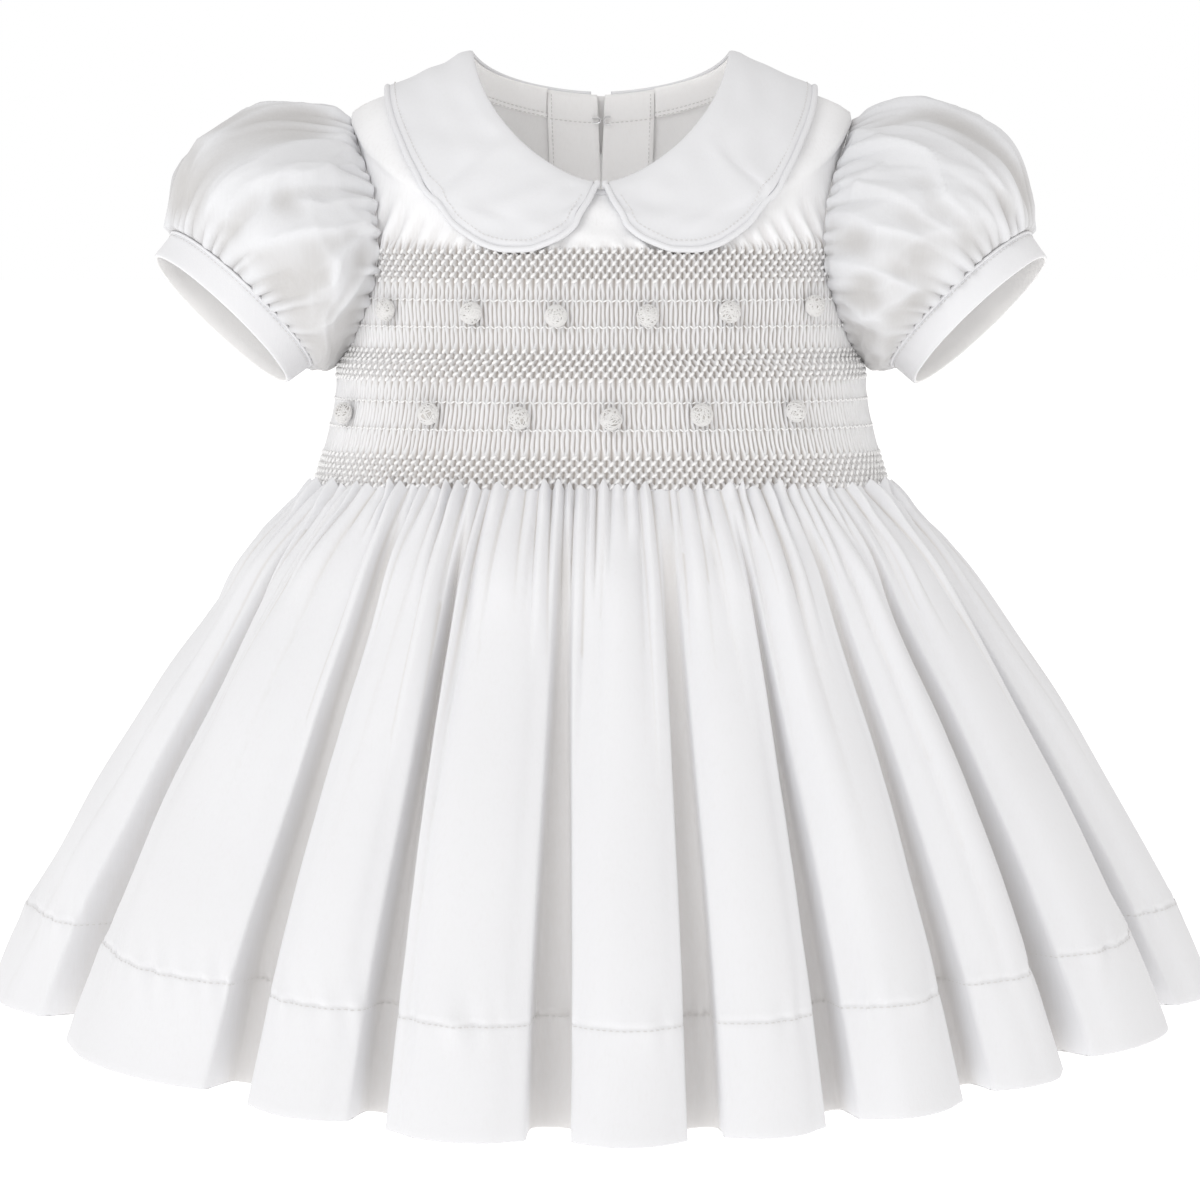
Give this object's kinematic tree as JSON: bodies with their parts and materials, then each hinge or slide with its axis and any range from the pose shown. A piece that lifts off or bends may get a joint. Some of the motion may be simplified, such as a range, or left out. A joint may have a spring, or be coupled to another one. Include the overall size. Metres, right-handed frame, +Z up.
{
  "type": "puff_sleeve_dress",
  "caption": "Toddler's white cotton dress with a smocked and embroidered front, a piped round collar, gathered puff sleeves in band cuffs and a full gathered skirt",
  "frame": {"origin": "the middle of the neck opening, where the wearer's neck comes through, 8 mm below the top of the collar", "axes": "+Z up, +X towards the right-hand sleeve as seen from the front, +Y from the front of the dress to its back"},
  "size_m": [0.5435, 0.4066, 0.4424],
  "materials": {
    "front_bodice": "matt woven cotton",
    "back_bodice_left": "matt woven cotton",
    "back_bodice_right": "matt woven cotton",
    "neck_binding": "matt woven cotton",
    "neck_facing_left": "matt woven cotton",
    "neck_facing_right": "matt woven cotton",
    "back_placket_left": "matt woven cotton",
    "back_placket_right": "matt woven cotton",
    "collar_left": "matt woven cotton",
    "piping_left": "matt woven cotton",
    "collar_right": "matt woven cotton",
    "piping_right": "matt woven cotton",
    "skirt_front": "matt woven cotton",
    "skirt_back": "matt woven cotton",
    "sleeve_left": "matt woven cotton",
    "cuff_left": "matt woven cotton",
    "sleeve_right": "matt woven cotton",
    "cuff_right": "matt woven cotton",
    "ball_01": "wound cotton thread",
    "ball_02": "wound cotton thread",
    "ball_03": "wound cotton thread",
    "ball_04": "wound cotton thread",
    "ball_05": "wound cotton thread",
    "ball_06": "wound cotton thread",
    "ball_07": "wound cotton thread",
    "ball_08": "wound cotton thread",
    "ball_09": "wound cotton thread",
    "ball_10": "wound cotton thread",
    "ball_11": "wound cotton thread",
    "ball_12": "wound cotton thread",
    "back_tab": "matt woven cotton",
    "hook": "satin",
    "eye": "satin"
  },
  "bodies": {
    "root": {"front_bodice": "front_bodice", "back_bodice_left": "back_bodice_left", "back_bodice_right": "back_bodice_right", "neck_binding": "neck_binding", "neck_facing_left": "neck_facing_left", "neck_facing_right": "neck_facing_right", "back_placket_left": "back_placket_left", "back_placket_right": "back_placket_right", "collar_left": "collar_left", "piping_left": "piping_left", "collar_right": "collar_right", "piping_right": "piping_right", "skirt_front": "skirt_front", "skirt_back": "skirt_back", "sleeve_left": "sleeve_left", "cuff_left": "cuff_left", "sleeve_right": "sleeve_right", "cuff_right": "cuff_right", "ball_01": "ball_01", "ball_02": "ball_02", "ball_03": "ball_03", "ball_04": "ball_04", "ball_05": "ball_05", "ball_06": "ball_06", "ball_07": "ball_07", "ball_08": "ball_08", "ball_09": "ball_09", "ball_10": "ball_10", "ball_11": "ball_11", "ball_12": "ball_12", "back_tab": "back_tab", "hook": "hook", "eye": "eye"}
  },
  "joints": []
}
